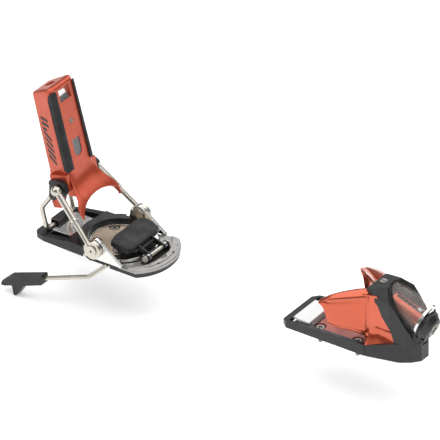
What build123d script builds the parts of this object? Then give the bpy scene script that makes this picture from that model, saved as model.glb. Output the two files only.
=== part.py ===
from build123d import *
import os

# Alpine turntable ski binding: a toe piece and a turntable heel piece on one ski axis.
# Millimetres. Origin: the turntable's axis on the ski's top surface.
# +X towards the ski's tip, +Y to the skier's left, +Z up from the ski.

# ---- heel: driving dimensions ----
BASE_THICK = 4.6            # black plate under the brake and the turntable
BASE_HALF_WIDTH = 35.5
BASE_REAR_RADIUS = 35.5
NOSE_X = 60.0               # front end of the grey brake housing
NOSE_SIDE_X = 43.5          # where the housing's straight sides end
NOSE_HALF_WIDTH = 36.5
NOSE_TOP = 8.2
STEP_RADIUS = 50.0          # the ears sweep over the lower step inside this radius
STEP_TOP = 6.0
RING_Z0 = 6.4               # turning ring
RING_Z1 = 9.6
RING_RADIUS = 37.0
DISC_RADIUS = 27.0          # fixed disc in the middle of the ring
DISC_CLEAR = 0.06
DISC_TOP = 10.0
HEEL_HOLES_X = 32.0         # heel screw pattern, hole to hole
HEEL_HOLES_Y = 30.0
SCREW_HOLE_R = 2.6
SCREW_R = 2.1               # thread in the ski
EAR_IN = 34.5               # inner face of an ear
EAR_OUT = 37.8
EAR_TIP_X = 29.0
EAR_EYE_R = 10.0
ARM_X, ARM_Z = -2.0, 17.8   # pivot of the lifting arms in the ears
ARM_EYE_IN = 38.3
ARM_EYE_OUT = 43.0
ARM_EYE_R = 9.0
ARM_PIN_R = 4.0
ARM_FOOT_Y = 42.4           # where the arm's bar starts, across the ski
ARM_THIN_R = 2.4
ARM_THICK_R = 3.3
BALL_R = 5.6                # ball end of the arm
RUN_CLEAR = 0.05            # radial running clearance of a pin
TOWER_X, TOWER_Z = -46.0, 66.0   # origin of the tower's own frame
TOWER_LEAN = 15.0           # the tower leans back from upright
TOWER_Y = 31.0              # middle of an arm's ball end
HEEL_PIN_R = 3.0
BAIL_X, BAIL_Z = -68.0, 7.6      # foot of the wire bail
BAIL_Y = 22.0
BAIL_R = 2.4
BAIL_END = 15.4             # the bail's hooked ends stop just outside the tower's foot

# ---- tower, in its own frame: v forward, y across, u up the tower ----
PIVOT_V, PIVOT_U = -5.3, -3.5    # pivot of the tower on the arms
TOWER_FRONT = 6.0
TOWER_REAR = -21.5
TOWER_TOP = 96.0
TOWER_SEAM = 9.0
TOWER_FRONT_HALF = 16.5
TOWER_REAR_HALF = 13.0
SPRING_V = -9.0             # axis of the main spring
SPRING_R = 8.0
STRIP_THICK = 1.6
YOKE_FRONT = 4.0            # the cup's seat, below the seam
YOKE_HALF = 23.5
GUARD_OUT = 26.4            # outer face of the pivot guard
GUARD_R = 9.0
STRIP_IN = 13.2             # the strips' inner edges on the front face
CUP_BACK = 1.0
RECESS_DEEP = 3.8
RIVET_U = 56.0
SCREW_BORE_R = 5.2
VENTS = 5

# ---- brake ----
BRAKE_X, BRAKE_Z = 10.0, 2.35
BRAKE_R = 2.1
ARM_END_X = -93.5           # free end of the brake wire
PEDAL_X, PEDAL_Z = 42.0, 11.0
PEDAL_PIN_R = 2.0

# ---- toe: driving dimensions ----
TOE_REAR = 203.0
TOE_SIDE_END = 298.0
TOE_NOSE = 347.0
TOE_HALF = 28.5
TOE_RAIL = 4.0
TOE_FLOOR = 3.0
DECK_TOP = 7.0
DECK_END = 303.0
CHIN_TOP = 20.4             # top of the base's nose, under the barrel
RAIL_REAR_TOP = 9.0
RAIL_FRONT_TOP = 12.0
TOE_HOLES_X = 42.0
TOE_HOLES_Y = 35.0
TOE_MOUNT_X = 262.0
PAD_X0, PAD_X1 = 219.0, 232.5
PAD_HALF = 24.0
PAD_TOP = 11.4
AFD_RAILS = (214.5, 229.0)  # two guide bars under the sliding pad
AFD_RAIL_Z, AFD_RAIL_R = 5.4, 1.5
WING_PIN_X, WING_PIN_Y = 295.0, 14.0
WING_PIN_R = 2.6
KNUCKLE_R = 6.5
KNUCKLE_ROOM = 7.3
BARREL_TILT = 20.0          # the spring barrel slopes down towards the front
BARREL_X, BARREL_Z = 346.0, 42.6   # front end of the barrel on its axis
BARREL_LONG = 42.0
BARREL_R1 = 17.0
BARREL_R0 = 15.2
CAP_R = 15.0
CAP_DROP = -4.0             # the spring, its screw and the cap lie below the window's axis
SLEEVE_R = 9.5
PANEL_IN = 17.5             # inner face of the painted side panels
BRIDGE_SCREW_X = 300.0
CAP_SCREW_R = 7.4


def block(x0, x1, y0, y1, z0, z1):
    """A box between two corners."""
    size = (x1 - x0, y1 - y0, z1 - z0)
    return Pos((x0 + x1) / 2, (y0 + y1) / 2, (z0 + z1) / 2) * Box(*size)


def disc(x, y, z0, z1, r):
    """An upright cylinder."""
    return Pos(x, y, (z0 + z1) / 2) * Cylinder(r, z1 - z0)


def rod_y(x, z, y0, y1, r):
    """A cylinder along Y."""
    return Pos(x, (y0 + y1) / 2, z) * Rot(90, 0, 0) * Cylinder(r, abs(y1 - y0))


def rod_x(y, z, x0, x1, r):
    """A cylinder along X."""
    return Pos((x0 + x1) / 2, y, z) * Rot(0, 90, 0) * Cylinder(r, abs(x1 - x0))


def rod_between(a, b, r):
    """A round bar from point a to point b."""
    a, b = Vector(*a), Vector(*b)
    plane = Plane(origin=a, z_dir=b - a)
    return extrude(plane * Circle(r), (b - a).length)


def plan(points, z0, z1):
    """A prism of a closed outline in the XY plane."""
    outline = make_face(Polyline(*[(x, y, z0) for x, y in points], close=True))
    return extrude(outline, z1 - z0, dir=(0, 0, 1))


def side(points, y0, y1):
    """A prism of a closed outline in the XZ plane."""
    outline = make_face(Polyline(*[(x, y0, z) for x, z in points], close=True))
    return extrude(outline, y1 - y0, dir=(0, 1, 0))


def front(points, x0, x1):
    """A prism of a closed outline in the YZ plane."""
    outline = make_face(Polyline(*[(x0, y, z) for y, z in points], close=True))
    return extrude(outline, x1 - x0, dir=(1, 0, 0))


def both(points):
    """The points and their mirror images in Y, as one outline."""
    return points + [(x, -y) for x, y in reversed(points)]


def mirrored(shape):
    """The same piece on the other side of the ski's centre plane."""
    return mirror(shape, about=Plane.XZ)


def bent_wire(points, radii, r):
    """Round wire along straight runs with round bends."""
    path = FilletPolyline(*points, radius=radii)
    start = Plane(origin=points[0], z_dir=Vector(*points[1]) - Vector(*points[0]))
    return sweep(start * Circle(r), path=path)


def rounded(shape, radius, edges):
    """Fillets the edges, or returns the shape with the largest of a few radii that works."""
    for scale in (1.0, 0.6, 0.3):
        try:
            made = fillet(edges, radius * scale)
            if made.is_valid:
                return made
        except Exception:
            continue
    return shape


def grid(x, y, dx, dy):
    """The four corners of a rectangle about a centre."""
    return [(x + i * dx / 2, y + j * dy / 2) for i in (-1, 1) for j in (-1, 1)]


def wood_screws(places, z_head, head_r, head_h, length):
    """Countersunk ski-binding screws with a cross recess, as separate solids."""
    screws = []
    for x, y in places:
        head = disc(x, y, z_head - head_h, z_head, head_r)
        shank = disc(x, y, -0.4, z_head - head_h, SCREW_HOLE_R - RUN_CLEAR)
        shank += disc(x, y, z_head - length, -0.4, SCREW_R)
        cross = block(x - 2.6, x + 2.6, y - 0.6, y + 0.6, z_head - 1.4, z_head + 1)
        cross += block(x - 0.6, x + 0.6, y - 2.6, y + 2.6, z_head - 1.4, z_head + 1)
        screws.append(head + shank - cross)
    return Compound(children=screws)


def on_tower_place():
    """The tower's own frame in the ski's."""
    return Pos(TOWER_X, 0, TOWER_Z) * Rot(0, -TOWER_LEAN, 0)


def on_tower(shape):
    """Places a shape made in the tower's own frame."""
    return on_tower_place() * shape


def ball_centre():
    """Middle of the right arm's ball end, on the tower's pivot axis."""
    return (on_tower_place() * Pos(PIVOT_V, -TOWER_Y, PIVOT_U)).position


def on_barrel(shape):
    """Places a shape made along X, 0 at the barrel's front end."""
    return Pos(BARREL_X, 0, BARREL_Z) * Rot(0, BARREL_TILT, 0) * shape


# ================= heel: pieces fixed to the ski =================

def nose_outline(half, x_end, x_side):
    """Straight sides and a round front, from the turntable's axis forward."""
    corner = (x_side + 0.68 * (x_end - x_side), -0.62 * half)
    line1 = Line((0, -half), (x_side, -half))
    curve1 = ThreePointArc((x_side, -half), corner, (x_end, 0))
    curve2 = ThreePointArc((x_end, 0), (corner[0], -corner[1]), (x_side, half))
    line2 = Line((x_side, half), (0, half))
    line3 = Line((0, half), (0, -half))
    return make_face([line1, curve1, curve2, line2, line3])


def heel_base_plate():
    plate = extrude(nose_outline(BASE_HALF_WIDTH, NOSE_X - 1, NOSE_SIDE_X), BASE_THICK)
    plate += disc(0, 0, 0, BASE_THICK, BASE_REAR_RADIUS)
    for sign in (-1, 1):
        y0, y1 = sorted((sign * 28, sign * 45))
        plate -= block(BRAKE_X - 3.2, BRAKE_X + 3.2, y0, y1, -1, BASE_THICK + 1)
        plate -= block(-9, BRAKE_X, min(sign * 33.5, sign * 45), max(sign * 33.5, sign * 45), -1, 9)
        y0, y1 = sorted((sign * 27.5, sign * 29.8))
        plate -= rod_y(BRAKE_X, BRAKE_Z, y0 - 3.7, y1 + 3.7, BRAKE_R + RUN_CLEAR)
    for x, y in grid(0, 0, HEEL_HOLES_X, HEEL_HOLES_Y):
        plate -= disc(x, y, -1, BASE_THICK + 1, SCREW_HOLE_R)
    return plate


def turntable_disc():
    body = disc(0, 0, BASE_THICK, DISC_TOP, DISC_RADIUS)
    rim = body.edges().filter_by(GeomType.CIRCLE).sort_by(Axis.Z)[-1]
    body = chamfer(rim, 0.8)
    for x, y in grid(0, 0, HEEL_HOLES_X, HEEL_HOLES_Y):
        body -= disc(x, y, BASE_THICK - 1, DISC_TOP + 1, SCREW_HOLE_R)
        body -= Pos(x, y, DISC_TOP - 1.5) * Cone(4.2, 5.6, 3.0)
    return body


def heel_screws():
    places = grid(0, 0, HEEL_HOLES_X, HEEL_HOLES_Y)
    return wood_screws(places, DISC_TOP - 0.6, 4.1, 2.4, 17.0)


def brake_housing():
    """The satin grey nose: a flat outer land, a step that the ears pass over, a hollow inside."""
    body = extrude(nose_outline(NOSE_HALF_WIDTH, NOSE_X, NOSE_SIDE_X), NOSE_TOP)
    body -= block(-10, 70, -50, 50, -1, BASE_THICK)
    edge = body.edges().filter_by_position(Axis.Z, NOSE_TOP - 0.01, NOSE_TOP + 0.01)
    body = rounded(body, 1.6, edge)
    body -= disc(0, 0, -1, 20, RING_RADIUS + 1.2)
    body -= disc(0, 0, STEP_TOP, 20, STEP_RADIUS)
    body -= block(-20, 24, -60, 60, -1, 20)
    groove = disc(0, 0, NOSE_TOP - 0.7, 20, 56.0) - disc(0, 0, 0, 21, 54.8)
    body -= groove & block(40, 70, -26, 26, 0, 30)
    body -= block(47.5, 52.5, -3.5, 3.5, BASE_THICK + 0.8, 20)
    for x, y in ((53.5, 12.5), (53.5, -12.5)):
        body -= disc(x, y, BASE_THICK - 1, 20, 1.4)
    return body


def brake_bracket():
    """Black steel saddle with two cheeks that carry the pedal's pin."""
    body = block(38.4, 46.5, -20, 20, STEP_TOP + 0.02, STEP_TOP + 1.6)
    body &= disc(0, 0, 0, 20, STEP_RADIUS - 0.05)
    foot_z = STEP_TOP + 0.02
    profile = [(38.4, foot_z), (46.5, foot_z), (46.2, 11), (44.5, 14.5), (40, 14.5), (38.4, 11)]
    cheeks = side(profile, -17, -15) + side(profile, 15, 17)
    cheeks &= disc(0, 0, 0, 20, STEP_RADIUS - 0.05)
    return body + cheeks - rod_y(PEDAL_X, PEDAL_Z, -25, 25, PEDAL_PIN_R)


def brake_pin():
    pin = rod_y(PEDAL_X, PEDAL_Z, -18.6, 18.6, PEDAL_PIN_R)
    for sign in (-1, 1):
        pin += rod_y(PEDAL_X, PEDAL_Z, sign * 17.02, sign * 18.6, PEDAL_PIN_R + 1.2)
    return pin


def brake_springs():
    """Torsion springs on the pedal's pin: a coil each side."""
    springs = []
    for y0, y1 in ((-14.8, -12.0), (12.0, 14.8)):
        coil = rod_y(PEDAL_X, PEDAL_Z, y0, y1, 3.3) - rod_y(PEDAL_X, PEDAL_Z, y0 - 1, y1 + 1, 2.3)
        springs.append(coil)
    return Compound(children=springs)


# ================= heel: pieces that turn with the turntable =================

def ear_frame():
    """Polished steel ring with an upright ear on each side."""
    ring = disc(0, 0, RING_Z0, RING_Z1, RING_RADIUS)
    ears = []
    bottom = [(-10, RING_Z0), (EAR_TIP_X, RING_Z0), (EAR_TIP_X - 1, RING_Z0 + 1.6)]
    shoulder = [(ARM_X + 7.5, ARM_Z + 6.6), (ARM_X - 7.5, ARM_Z + 6.6)]
    for sign in (-1, 1):
        y0, y1 = sorted((sign * EAR_IN, sign * EAR_OUT))
        ear = side(bottom + shoulder + [(-14, RING_Z0 + 4), (-14, RING_Z0)], y0, y1)
        ear += rod_y(ARM_X, ARM_Z, y0, y1, EAR_EYE_R)
        ear -= rod_y(ARM_X, ARM_Z, y0 - 1, y1 + 1, ARM_PIN_R)
        ears.append(ear)
    body = ring + ears[0] + ears[1]
    body += block(-64, -30, -19, 19, RING_Z0, RING_Z1 - 1.4)
    body -= disc(0, 0, 0, 20, DISC_RADIUS + DISC_CLEAR)
    return body


def ear_pins():
    """Headed rivets that carry the arms."""
    pins = []
    for sign in (-1, 1):
        pin = rod_y(ARM_X, ARM_Z, sign * (EAR_IN - 1.6), sign * (ARM_EYE_OUT + 0.1), ARM_PIN_R)
        pin += rod_y(ARM_X, ARM_Z, sign * (EAR_IN - 1.6), sign * EAR_IN, ARM_PIN_R + 2.2)
        pin += rod_y(ARM_X, ARM_Z, sign * (ARM_EYE_OUT + 0.1), sign * (ARM_EYE_OUT + 1.5), 5.4)
        pin -= rod_y(ARM_X, ARM_Z, sign * (ARM_EYE_OUT - 1), sign * (ARM_EYE_OUT + 3), 1.3)
        pins.append(pin)
    return Compound(children=pins)


def tail_outline():
    """Half of the tail cover's plan, from the ring back to the rear lobe."""
    return [(-8, -33.6), (-66, -32.0), (-74, -29.5), (-78, -25), (-78, -13), (-73.5, -8)]


def tail_cover():
    """Black cover behind the ring: a crescent wall on the ring and a low tail with two lobes."""
    outer, inner = RING_RADIUS + 1.4, RING_RADIUS + 0.02
    plate_z = RING_Z1 - 1.38
    body = plan(both(tail_outline()), 1.0, 11.5)
    body -= disc(0, 0, -1, RING_Z0, RING_RADIUS + 1.0) + disc(0, 0, -1, 30, inner)
    body -= side([(-100, 5.8), (-70, 5.8), (-38, 10.6), (-38, 40), (-100, 40)], -50, 50)
    body -= block(-64.02, -30, -19.02, 19.02, RING_Z0, plate_z)
    body -= block(-62, -41, -26, 26, plate_z - 0.01, 20)
    for y0, y1 in ((-26, -19.5), (19.5, 26)):
        body -= block(-62, -41, y0, y1, 3.0, 20)
    body -= rod_y(BAIL_X, BAIL_Z, -BAIL_Y - 3.2, BAIL_Y + 3.2, BAIL_R + RUN_CLEAR)
    body -= block(-71.2, -64.8, -BAIL_Y - 3.4, BAIL_Y + 3.4, BAIL_Z - 2.4, 20)
    crescent = disc(0, 0, RING_Z1 + 0.02, 14.6, outer) - disc(0, 0, 0, 20, 30.0)
    crescent &= plan([(0, 0), (-9, 60), (-90, 60), (-90, -60), (-20, -60)], 0, 20)
    for sign in (-1, 1):
        y0, y1 = sorted((sign * (EAR_IN - 1.8), sign * 60))
        crescent -= block(-16, 30, y0, y1, 0, 30)
        crescent -= rod_y(ARM_X, ARM_Z, sign * 30, sign * 40, ARM_PIN_R + 2.4)
    skirt = disc(0, 0, RING_Z0, RING_Z1 + 0.1, outer) - disc(0, 0, 0, 20, inner)
    skirt &= plan([(-16, 60), (-90, 60), (-90, -60), (-16, -60)], 0, 20)
    skirt -= block(-64.02, -30, -19.02, 19.02, 0, plate_z)
    return body + crescent + skirt


def bail_clip():
    """Steel clip that keeps the bail's foot in its seat."""
    body = block(-72.6, -71.3, -9, 9, 6.2, 12.4) + block(-64.7, -63.4, -9, 9, 8.3, 12.4)
    body += block(-72.6, -63.4, -9, 9, 11.2, 12.4)
    return body


# ================= heel: arms, tower and bail =================

def arm_point(part):
    """A point on the right arm's middle line, from 0 at the eye to 1 at the ball."""
    foot, top = Vector(ARM_X, -ARM_FOOT_Y, ARM_Z), ball_centre()
    return tuple(foot + (top - foot) * part)


def heel_arm():
    """Right-hand arm: eye, thin bar, thick sleeve and ball end with its inward stub."""
    ball = ball_centre()
    body = rod_y(ARM_X, ARM_Z, -ARM_EYE_IN, -ARM_EYE_OUT, ARM_EYE_R)
    body += rod_between(arm_point(0.08), arm_point(0.525), ARM_THIN_R)
    body += rod_between(arm_point(0.52), arm_point(0.97), ARM_THICK_R)
    body += Pos(*ball) * Rot(90, 0, 0) * Sphere(BALL_R)
    body += rod_y(ball.X, ball.Z, ball.Y, -YOKE_HALF + 4.0, HEEL_PIN_R)
    body -= rod_y(ARM_X, ARM_Z, -60, -20, ARM_PIN_R + RUN_CLEAR)
    return body


def arm_collar():
    """Ring on the step between the arm's thick and thin parts."""
    a, b = arm_point(0.49), arm_point(0.5195)
    return rod_between(a, b, ARM_THICK_R + 0.4) - rod_between(a, b, ARM_THIN_R + 0.01)


def tower_section(u, grow):
    """Section of the tower at height u: flat rear and front faces, wide flanks."""
    rear, flank = TOWER_REAR_HALF + grow, TOWER_FRONT_HALF + 1.5 + grow
    face = TOWER_FRONT_HALF - 3 + grow
    half = [(TOWER_REAR, -rear), (-2.0, -flank), (TOWER_FRONT - 3.5, -flank), (TOWER_FRONT, -face)]
    points = [(v, y, u) for v, y in both(half)]
    return make_face(Polyline(*points, close=True))


def tower_crown():
    """The slope of the tower's top, from the rear edge to the front."""
    return [(TOWER_REAR - 1, 90.0), (-12, 93.0), (0, 96.0), (TOWER_FRONT + 1, 95.6)]


def tower_blank():
    return loft([tower_section(TOWER_SEAM - 1.5, 1.6), tower_section(TOWER_TOP, 0.0)])


def tower_housing():
    """Forged alloy tower with the spring's bore, front windows, vents and a lower yoke."""
    body = tower_blank()
    body -= side(tower_crown() + [(TOWER_FRONT + 1, 120), (TOWER_REAR - 1, 120)], -40, 40)
    crown = body.edges().filter_by_position(Axis.Z, 86, 98)
    body = rounded(body, 3.0, crown)
    yoke = [(-16, TOWER_SEAM), (YOKE_FRONT, TOWER_SEAM), (YOKE_FRONT, -7), (-3, -9), (-16, -5)]
    body += side(yoke, -YOKE_HALF, YOKE_HALF)
    body += rod_y(PIVOT_V, PIVOT_U, -YOKE_HALF, YOKE_HALF, 8.0)
    foot = [(TOWER_REAR, TOWER_SEAM), (0, TOWER_SEAM), (0, -8), (-10, -14), (-18, -30)]
    body += side(foot + [(-27, -30), (-28, -24), (TOWER_REAR - 1, -8)], -15, 15)
    body -= side([(-30, -40), (-11, -40), (-11, -12), (-30, -14)], -10, 10)
    body -= disc(SPRING_V, 0, -2, 86, SPRING_R)
    body -= disc(SPRING_V, 0, 84, 110, SCREW_BORE_R)
    for sign in (-1, 1):
        body -= rod_y(PIVOT_V, PIVOT_U, sign * (YOKE_HALF - 4.1), sign * 40, HEEL_PIN_R + RUN_CLEAR)
    body -= block(TOWER_FRONT - RECESS_DEEP, 20, -8.5, 8.5, 78.0, 91.0)
    body -= block(TOWER_FRONT - 3.2, 20, -5.6, 5.6, 26, 38)
    body -= Pos(TOWER_FRONT - 1.6, 0, 26) * Rot(0, 90, 0) * Cylinder(5.6, 3.2)
    body -= rod_x(0, RIVET_U, TOWER_FRONT - 6, 20, 1.8)
    for i in range(VENTS):
        u = 20 + 6.2 * i
        vent = [(-17, u + 4), (-9, u - 3.6), (-9, u - 1.4), (-17, u + 6.2)]
        body -= side(vent, -40, -14.5 - 0.1 * i) + side(vent, 14.5, 40)
    return body


def recess_insert():
    """Polished cup near the top, where a ski pole's tip presses the tower down."""
    deep = TOWER_FRONT - RECESS_DEEP
    body = block(deep + 0.04, TOWER_FRONT - 0.2, -8.46, 8.46, 78.04, 90.9)
    scoop = Pos(TOWER_FRONT + 9.0, 0, 84.5) * Rot(90, 0, 0) * Cylinder(12.0, 30)
    return body - scoop


def release_window():
    """Clear window over the release scale."""
    body = block(TOWER_FRONT - 1.8, TOWER_FRONT - 0.6, -5.55, 5.55, 26, 37.95)
    body += Pos(TOWER_FRONT - 1.2, 0, 26) * Rot(0, 90, 0) * Cylinder(5.55, 1.2)
    return body


def tower_rivet():
    pin = rod_x(0, RIVET_U, TOWER_FRONT - 5.98, TOWER_FRONT + 0.04, 1.76)
    head = Pos(TOWER_FRONT + 0.52, 0, RIVET_U) * Rot(0, 90, 0) * Cone(2.6, 1.6, 1.0)
    return pin + head


def tower_strip():
    """Soft edge guard along one front corner, wrapped from the front face to the side."""
    outer = loft([tower_section(TOWER_SEAM - 1.5, 1.6 + STRIP_THICK),
                  tower_section(TOWER_TOP, STRIP_THICK)])
    outer += Pos(STRIP_THICK, 0, 0) * outer
    outer -= tower_blank()
    v = TOWER_FRONT
    mask = [(v - 6, 85), (v - 4, 90.5), (v, 92), (v + 6, 90), (v + 6, 17), (v - 1, 10), (v - 5, 13)]
    return outer & side(mask, -40, -STRIP_IN)


def heel_cup(strip):
    """Flared apron that grips the boot's heel, with a pointed horn on each side."""
    start = Line((CUP_BACK, 14.5), (TOWER_FRONT, 11))
    outer = ThreePointArc((TOWER_FRONT, 11), (9.8, -6), (20.5, -20))
    drop = Line((20.5, -20), (18.5, -36))
    under = Line((18.5, -36), (9.5, -34))
    inner = ThreePointArc((9.5, -34), (6.4, -9), (CUP_BACK, 0))
    back = Line((CUP_BACK, 0), (CUP_BACK, 14.5))
    sheet = make_face([start, outer, drop, under, inner, back])
    body = Pos(0, 40, 0) * Rot(90, 0, 0) * extrude(sheet, 80)
    rim = [Line((-20.0, 16), (20.0, 16))]
    for sign in (1, -1):
        edge = ThreePointArc((sign * 20.0, 16), (sign * 23.2, -6), (sign * 32.3, -24.5))
        tip = Line((sign * 32.3, -24.5), (sign * 30.2, -33))
        arch = ThreePointArc((sign * 30.2, -33), (sign * 26.2, -24.0), (sign * 19.0, -20.5))
        rim += [edge, tip, arch]
    rim.append(ThreePointArc((19.0, -20.5), (0, -16.5), (-19.0, -20.5)))
    shape = Plane.YZ * make_face(rim)
    body &= Pos(-10, 0, 0) * extrude(shape, 50, dir=(1, 0, 0))
    yoke = [(-9, 40), (YOKE_FRONT + 0.02, 40), (YOKE_FRONT + 0.02, -7.02), (-3, -9.1), (-9, -9)]
    body -= side(yoke, -YOKE_HALF - 0.02, YOKE_HALF + 0.02)
    return body - tower_blank() - strip - mirrored(strip)


def pivot_guard():
    """Black lobed shield behind the arm's upper joint; its lobes pass outside the bail."""
    x, z, y0, y1 = PIVOT_V, PIVOT_U, -GUARD_OUT, -YOKE_HALF - 0.02
    body = rod_y(x, z, y0, y1, GUARD_R)
    lobe_y = y0 + 1.5
    body += rod_y(x - 10.5, z - 8.5, y0, lobe_y, 4.4) + rod_y(x - 8.0, z + 4.5, y0, lobe_y, 3.8)
    web = [(x - 1, z + 9), (x - 10, z + 8), (x - 14.4, z - 7), (x - 12, z - 12.6), (x - 1, z - 9)]
    body += side(web, y0, lobe_y)
    rim = rod_y(x, z, y0 - 3, y1, GUARD_R) - rod_y(x, z, -50, -20, GUARD_R - 1.9)
    body += rim & side([(x, z), (x - 1, z + 12), (x + 12, z + 12), (x + 13, z + 3.6)], y0 - 3, y1)
    body -= Pos(x, -TOWER_Y, z) * Sphere(BALL_R + 0.5)
    return body - rod_y(x, z, -50, -20, HEEL_PIN_R + 0.4)


def treadle():
    """Short lip under the tower's yoke that the boot's heel pushes down."""
    profile = [(1.2, -8.3), (3.9, -7.4), (5.6, -10), (4.8, -15.5), (1.2, -15.5)]
    return side(profile, -14, 14)


def main_spring():
    """Release spring, a helical coil in the tower's bore."""
    coil = Helix(pitch=7.0, height=60, radius=6.0, center=(SPRING_V, 0, 12))
    start = Plane(origin=coil @ 0, z_dir=coil % 0)
    return sweep(start * Circle(1.5), path=coil)


def spring_piston():
    """Lower spring seat, which the bail pulls on."""
    return disc(SPRING_V, 0, 4.0, 9.8, SPRING_R - 0.05) + disc(SPRING_V, 0, 9.7, 30, 3.8)


def spring_nut():
    """Upper spring seat on the adjusting screw; it carries the scale's mark."""
    body = disc(SPRING_V, 0, 74.5, 79.5, SPRING_R - 0.05)
    return body - disc(SPRING_V, 0, 60, 90, 3.05)


def heel_screw():
    """Release adjusting screw in the tower's crown."""
    body = disc(SPRING_V, 0, 64, 84.5, 3.0) + disc(SPRING_V, 0, 84.4, 90.8, SCREW_BORE_R - 0.05)
    return body - block(SPRING_V - 4.4, SPRING_V + 4.4, -0.9, 0.9, 89.0, 94)


def wire_bail():
    """Steel loop from the tail up beside the tower's foot, one piece of heavy wire."""
    y, r = BAIL_Y, 4.5
    end, top = (-61.0, -BAIL_END, 49.5), (-61.0, -y, 49.5)
    knee, low = (-74.0, -y, 30.5), (BAIL_X, -y, BAIL_Z)
    right = [end, top, knee, low]
    left = [(x, -yy, z) for x, yy, z in reversed(right)]
    return bent_wire(right + left, [2.5, 9.0, r, r, 9.0, 2.5], BAIL_R)


# ================= heel: brake =================

def arm_line(x):
    """Height of the brake wire's straight rear stretch."""
    return -26.5 + (x + 52.0) * 0.357


def brake_arm():
    """Right-hand brake wire: stub axle in the plate, outward crank and a long straight arm."""
    x, z = BRAKE_X, BRAKE_Z
    end = (ARM_END_X, -50.0, arm_line(ARM_END_X))
    points = [(x, -24, z), (x, -37.8, z), (-2.0, -47.5, -8.4), (-52.0, -49.5, -26.5), end]
    return bent_wire(points, [2.4, 8.0, 20.0], BRAKE_R)


def brake_tip(arm):
    """Black plastic foot on the arm's end, with a downward spike."""
    top = [(-51, 4.6), (-90, 4.6), (-97, 1.0), (-99, -4.0), (-94, -5.2)]
    spike = [(-86, -5.0), (-84, -15.5), (-81, -16.2), (-72, -5.8), (-51, -5.2)]
    profile = [(x, arm_line(x) + dz) for x, dz in top + spike]
    body = side(profile, -55.0, -45.0)
    body = rounded(body, 1.2, body.edges().filter_by(Axis.Y))
    return body - arm


def pedal_pad():
    """Black brake pedal that the boot's sole presses down."""
    half = [(5.5, -17), (8.5, -26.5), (20, -27.5), (27.5, -25.5), (29.5, -20)]
    body = plan(both(half), 14.0, 25.0)
    wedge = [(0, 24.2), (14, 24.2), (27, 21.2), (32, 18.5), (32, 40), (0, 40)]
    body -= side(wedge, -40, 40)
    body -= side([(0, 10), (33, 10), (33, 14.6), (24, 16), (10, 18.6), (0, 18.6)], -40, 40)
    edges = body.edges().filter_by_position(Axis.Z, 20.5, 24.3)
    return rounded(body, 1.2, edges)


def pedal_frame(pad):
    """Steel yoke from the pad down to the pedal's pin, high enough to clear the ring when pressed."""
    profile = [(20, 17.8), (39.2, 10.2), (40.2, 8.6), (43, 7.8), (45.4, 11), (43, 14.2), (34, 17.5), (24, 20)]
    body = side(profile, -11.5, -10) + side(profile, 10, 11.5)
    body += block(31.0, 33.5, -10.1, 10.1, 13.6, 16.4)
    body -= rod_y(PEDAL_X, PEDAL_Z, -30, 30, PEDAL_PIN_R + RUN_CLEAR)
    return body - pad


def pedal_springs():
    """Two short upright coils under the pad that lift it."""
    coils = []
    for y in (-22.0, 22.0):
        helix = Helix(pitch=2.3, height=6.4, radius=2.4, center=(11.0, y, 11.0))
        coils.append(sweep(Plane(origin=helix @ 0, z_dir=helix % 0) * Circle(0.6), path=helix))
    return Compound(children=coils)


# ================= toe: fixed pieces =================

def toe_plan():
    """Half of the toe base's plan."""
    half = TOE_HALF
    return [(TOE_REAR, -half + 5), (TOE_REAR + 6, -half), (TOE_SIDE_END, -half),
            (331, -half + 8), (341, -half + 15), (TOE_NOSE, -6)]


def cap_space():
    """The room round the end cap and its lug."""
    body = Pos(12.5, 0, CAP_DROP) * Rot(0, 90, 0) * Cylinder(CAP_R + 0.4, 20.4)
    return on_barrel(body + block(2.4, 12, -3.8, 3.8, CAP_DROP - CAP_R - 5.4, -10))


def toe_base():
    """Black base frame: side rails that rise to the front, a rear bar, a floor and a nose."""
    body = plan(both(toe_plan()), 0, CHIN_TOP)
    top = [(TOE_REAR - 5, 5.6), (TOE_REAR, 5.6), (219, 8.0), (223, RAIL_REAR_TOP),
           (TOE_SIDE_END, RAIL_FRONT_TOP), (331, CHIN_TOP - 0.2), (360, CHIN_TOP - 0.2)]
    body -= side(top + [(360, 40), (TOE_REAR - 5, 40)], -40, 40)
    body -= block(TOE_REAR + 7, DECK_END, -TOE_HALF + TOE_RAIL, TOE_HALF - TOE_RAIL, TOE_FLOOR, 40)
    for x, y in grid(TOE_MOUNT_X, 0, TOE_HOLES_X, TOE_HOLES_Y):
        body -= disc(x, y, -1, TOE_FLOOR + 1, SCREW_HOLE_R)
    skin = TOE_HALF - 0.8
    seam = block(TOE_SIDE_END - 0.6, TOE_SIDE_END + 0.2, -40, 40, -1, 30)
    seam -= block(290, 310, -skin, skin, -2, 40)
    return body - seam - cap_space()


def toe_deck():
    """Painted metal plate in the frame, under the wings, with dished screw seats."""
    half = TOE_HALF - TOE_RAIL - 0.02
    body = block(PAD_X1 + 3.5, DECK_END - 0.02, -half, half, TOE_FLOOR, DECK_TOP)
    for x, y in grid(TOE_MOUNT_X, 0, TOE_HOLES_X, TOE_HOLES_Y):
        body -= disc(x, y, 0, 20, SCREW_HOLE_R)
        body -= Pos(x, y, DECK_TOP - 1.5) * Cone(4.2, 5.6, 3.0)
    for sign in (-1, 1):
        body -= disc(WING_PIN_X, sign * WING_PIN_Y, 0, 20, WING_PIN_R)
    return body


def toe_screws():
    places = grid(TOE_MOUNT_X, 0, TOE_HOLES_X, TOE_HOLES_Y)
    return wood_screws(places, DECK_TOP - 0.6, 4.1, 2.4, 15.5)


def afd_rails():
    """Two bright bars across the frame that guide the sliding pad."""
    end = TOE_HALF - TOE_RAIL
    return Compound(children=[rod_y(x, AFD_RAIL_Z, -end, end, AFD_RAIL_R) for x in AFD_RAILS])


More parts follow.
